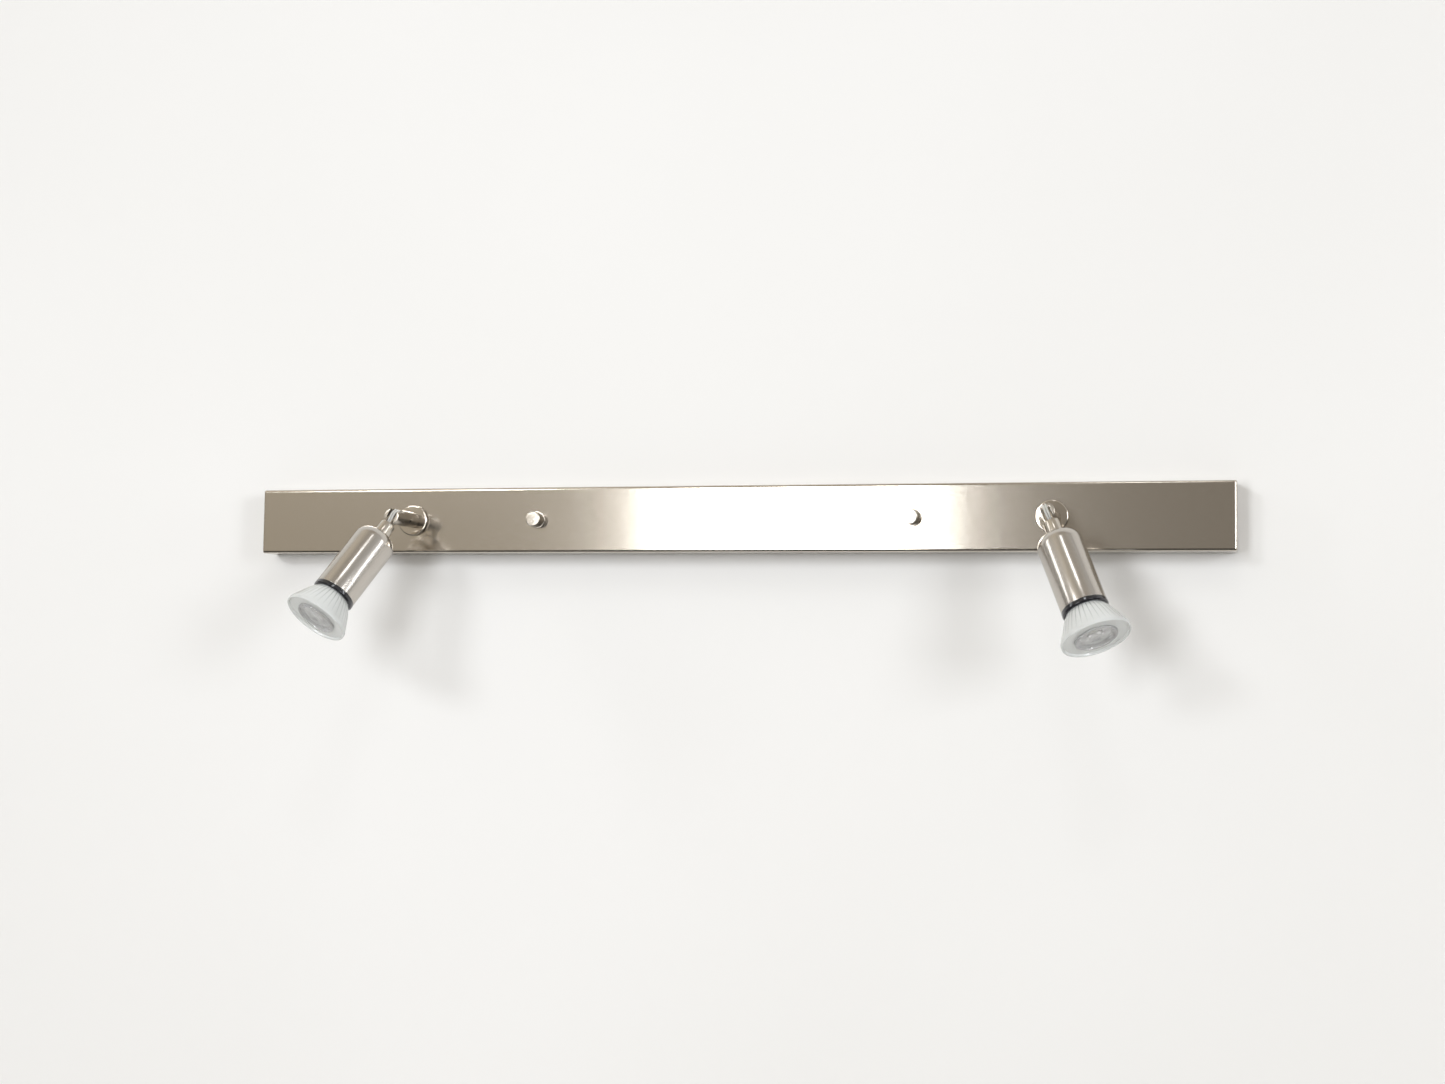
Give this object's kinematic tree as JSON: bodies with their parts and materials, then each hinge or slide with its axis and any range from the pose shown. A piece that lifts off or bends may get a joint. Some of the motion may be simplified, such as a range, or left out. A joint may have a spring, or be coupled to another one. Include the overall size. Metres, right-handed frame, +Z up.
{
  "type": "track lighting fixture",
  "caption": "Straight wall or ceiling spotlight bar in satin nickel; each lamp turns and tilts on its own arm and holds a twist-and-lock reflector bulb.",
  "frame": {"origin": "middle of the bar's back, in the plane of the wall", "axes": "+X along the bar, +Y into the wall, +Z up; the lamps stand out towards -Y"},
  "size_m": [0.762, 0.1408, 0.129],
  "materials": {
    "nickel_bar": "fine brushed satin nickel plate",
    "nickel": "satin nickel plate",
    "nickel_satin": "satin nickel plate, brushed along the tube",
    "nickel_polished": "polished nickel plate",
    "steel": "zinc plated steel",
    "zinc_strap": "zinc plated sheet steel",
    "screw_black": "blackened steel",
    "brass": "bright brass",
    "bush_plastic": "matt",
    "block_plastic": "moulded",
    "lead_silicone": "matt silicone rubber",
    "lead_white": "smooth",
    "holder_ceramic": "unglazed",
    "ring_black": "semi-gloss",
    "bulb_glass": "clear, faintly green, fluted",
    "bulb_optic": "clear, ringed",
    "bulb_plastic": "smooth",
    "heat_sink_aluminium": "satin",
    "board_white": "white solder mask",
    "led_yellow": "phosphor"
  },
  "bodies": {
    "bar": {"canopy": "nickel_bar", "cap_nuts": "nickel", "cap_washers": "nickel", "earth_screw": "brass", "earth_washer": "steel", "flange_lock_washers": "steel", "flange_nuts": "steel", "mounting_strap": "zinc_strap", "mounting_studs": "steel", "nipple_bushes": "bush_plastic", "stud_lock_nuts": "steel", "terminal_block": "block_plastic", "terminal_block_screw": "steel", "terminal_screws": "brass", "left_flange": "nickel_polished", "left_lead_sleeve": "lead_silicone", "right_flange": "nickel_polished", "right_lead_sleeve": "lead_silicone"},
    "left_arm_body": {"left_arm": "nickel", "left_grub_screw": "screw_black", "left_pivot_screw": "steel", "left_friction_washers": "steel"},
    "left_head_body": {"left_knuckle": "nickel", "left_leads": "lead_white", "left_sleeve": "nickel_satin", "left_neck_washer": "steel", "left_neck_nut": "steel", "left_holder_bracket": "steel", "left_holder_screws": "steel", "left_holder": "holder_ceramic", "left_holder_contacts": "brass", "left_trim_ring": "ring_black"},
    "left_bulb_body": {"left_bulb_shell": "bulb_glass", "left_bulb_lens": "bulb_optic", "left_bulb_base": "bulb_plastic", "left_bulb_pins": "steel", "left_heat_sink": "heat_sink_aluminium", "left_led_board": "board_white", "left_leds": "led_yellow"},
    "right_arm_body": {"right_arm": "nickel", "right_grub_screw": "screw_black", "right_pivot_screw": "steel", "right_friction_washers": "steel"},
    "right_head_body": {"right_knuckle": "nickel", "right_leads": "lead_white", "right_sleeve": "nickel_satin", "right_neck_washer": "steel", "right_neck_nut": "steel", "right_holder_bracket": "steel", "right_holder_screws": "steel", "right_holder": "holder_ceramic", "right_holder_contacts": "brass", "right_trim_ring": "ring_black"},
    "right_bulb_body": {"right_bulb_shell": "bulb_glass", "right_bulb_lens": "bulb_optic", "right_bulb_base": "bulb_plastic", "right_bulb_pins": "steel", "right_heat_sink": "heat_sink_aluminium", "right_led_board": "board_white", "right_leds": "led_yellow"}
  },
  "joints": [
    {"name": "left_pan", "type": "hinge", "parent": "bar", "child": "left_arm_body", "pos_m": [-0.25, -0.025, 0], "axis": [0, -1, 0], "range_deg": [-135.5, 184.5]},
    {"name": "left_tilt", "type": "hinge", "parent": "left_arm_body", "child": "left_head_body", "pos_m": [-0.25, -0.063, 0], "axis": [0.91, 0, -0.4147], "range_deg": [-57.5, 32.5], "deforming": ["left_leads"]},
    {"name": "left_bulb_twist", "type": "hinge", "parent": "left_head_body", "child": "left_bulb_body", "pos_m": [-0.25, -0.063, 0], "axis": [-0.3497, -0.5373, -0.7675], "range_deg": [0, 40]},
    {"name": "right_pan", "type": "hinge", "parent": "bar", "child": "right_arm_body", "pos_m": [0.25, -0.025, 0], "axis": [0, -1, 0], "range_deg": [-182.5, 137.5]},
    {"name": "right_tilt", "type": "hinge", "parent": "right_arm_body", "child": "right_head_body", "pos_m": [0.25, -0.063, 0], "axis": [0.9239, 0, 0.3827], "range_deg": [-68.5, 21.5], "deforming": ["right_leads"]},
    {"name": "right_bulb_twist", "type": "hinge", "parent": "right_head_body", "child": "right_bulb_body", "pos_m": [0.25, -0.063, 0], "axis": [0.3561, -0.3665, -0.8596], "range_deg": [0, 40]}
  ]
}
